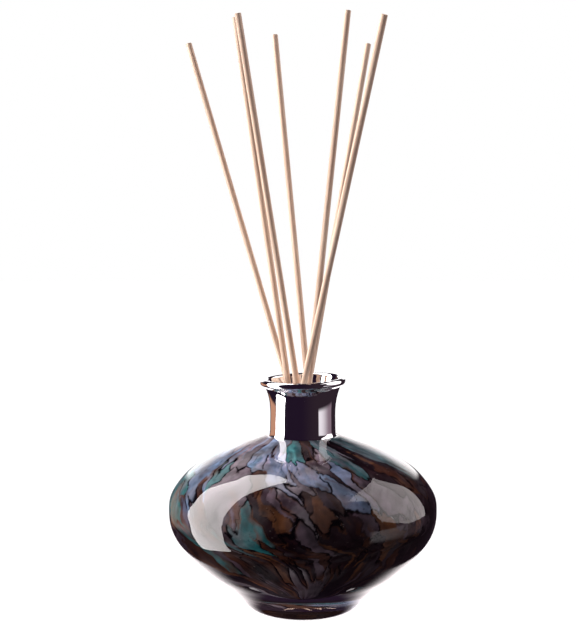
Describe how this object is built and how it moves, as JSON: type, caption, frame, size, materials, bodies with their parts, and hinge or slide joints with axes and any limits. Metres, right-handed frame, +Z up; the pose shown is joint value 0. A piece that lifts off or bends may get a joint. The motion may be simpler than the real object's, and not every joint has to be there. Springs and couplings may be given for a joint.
{
  "type": "reed diffuser",
  "caption": "Oval hand-blown art-glass bottle with a mottled colour layer under clear glass, a flared silver-plated neck, scented oil inside and thin wooden reeds leaning out.",
  "frame": {"origin": "centre of the flat base that the bottle stands on", "axes": "+Z up along the bottle and out of the neck, -Y the front, +X to the right seen from the front"},
  "size_m": [0.1274, 0.1274, 0.2784],
  "materials": {
    "clear_glass": "polished, fire-smooth clear glass",
    "bubble_glass": "amber-brown glass",
    "shard_teal": "milky teal glass",
    "shard_blue": "milky powder-blue glass",
    "shard_grey": "milky mauve-grey glass",
    "shard_amber": "streaky amber glass",
    "shard_maroon": "near-black maroon glass",
    "silver_plating": "mirror-bright silver",
    "oil": "clear pale yellow liquid",
    "reed_wood": "bare pale wood, fine grain along the reed"
  },
  "bodies": {
    "bottle": {"clear_glass_casing": "clear_glass", "fragrance_oil": "oil", "inner_glass_bubble": "bubble_glass", "shard_amber_1": "shard_amber", "shard_amber_2": "shard_amber", "shard_amber_3": "shard_amber", "shard_amber_4": "shard_amber", "shard_amber_5": "shard_amber", "shard_amber_6": "shard_amber", "shard_amber_7": "shard_amber", "shard_amber_8": "shard_amber", "shard_amber_9": "shard_amber", "shard_blue_1": "shard_blue", "shard_blue_2": "shard_blue", "shard_blue_3": "shard_blue", "shard_blue_4": "shard_blue", "shard_blue_5": "shard_blue", "shard_blue_6": "shard_blue", "shard_blue_7": "shard_blue", "shard_grey_1": "shard_grey", "shard_grey_10": "shard_grey", "shard_grey_11": "shard_grey", "shard_grey_12": "shard_grey", "shard_grey_2": "shard_grey", "shard_grey_3": "shard_grey", "shard_grey_4": "shard_grey", "shard_grey_5": "shard_grey", "shard_grey_6": "shard_grey", "shard_grey_7": "shard_grey", "shard_grey_8": "shard_grey", "shard_grey_9": "shard_grey", "shard_maroon_1": "shard_maroon", "shard_maroon_2": "shard_maroon", "shard_maroon_3": "shard_maroon", "shard_maroon_4": "shard_maroon", "shard_maroon_5": "shard_maroon", "shard_maroon_6": "shard_maroon", "shard_maroon_7": "shard_maroon", "shard_maroon_8": "shard_maroon", "shard_maroon_9": "shard_maroon", "shard_teal_1": "shard_teal", "shard_teal_10": "shard_teal", "shard_teal_11": "shard_teal", "shard_teal_2": "shard_teal", "shard_teal_3": "shard_teal", "shard_teal_4": "shard_teal", "shard_teal_5": "shard_teal", "shard_teal_6": "shard_teal", "shard_teal_7": "shard_teal", "shard_teal_8": "shard_teal", "shard_teal_9": "shard_teal", "silver_neck_plating": "silver_plating"},
    "reed_1": {"reed_1": "reed_wood"},
    "reed_2": {"reed_2": "reed_wood"},
    "reed_3": {"reed_3": "reed_wood"},
    "reed_4": {"reed_4": "reed_wood"},
    "reed_5": {"reed_5": "reed_wood"},
    "reed_6": {"reed_6": "reed_wood"},
    "reed_7": {"reed_7": "reed_wood"}
  },
  "joints": [
    {"name": "reed_1_lift", "type": "slide", "parent": "bottle", "child": "reed_1", "axis": [-0.2819, 0.1142, 0.9526], "range_m": [0, 0.12]},
    {"name": "reed_2_lift", "type": "slide", "parent": "bottle", "child": "reed_2", "axis": [-0.1551, -0.0812, 0.9846], "range_m": [0, 0.12]},
    {"name": "reed_3_lift", "type": "slide", "parent": "bottle", "child": "reed_3", "axis": [-0.0921, 0.207, 0.974], "range_m": [0, 0.12]},
    {"name": "reed_4_lift", "type": "slide", "parent": "bottle", "child": "reed_4", "axis": [0.1747, 0.209, 0.9622], "range_m": [0, 0.12]},
    {"name": "reed_5_lift", "type": "slide", "parent": "bottle", "child": "reed_5", "axis": [0.1004, -0.0328, 0.9944], "range_m": [0, 0.12]},
    {"name": "reed_6_lift", "type": "slide", "parent": "bottle", "child": "reed_6", "axis": [0.1902, -0.2861, 0.9392], "range_m": [0, 0.12]},
    {"name": "reed_7_lift", "type": "slide", "parent": "bottle", "child": "reed_7", "axis": [-0.1411, -0.0232, 0.9897], "range_m": [0, 0.12]}
  ]
}
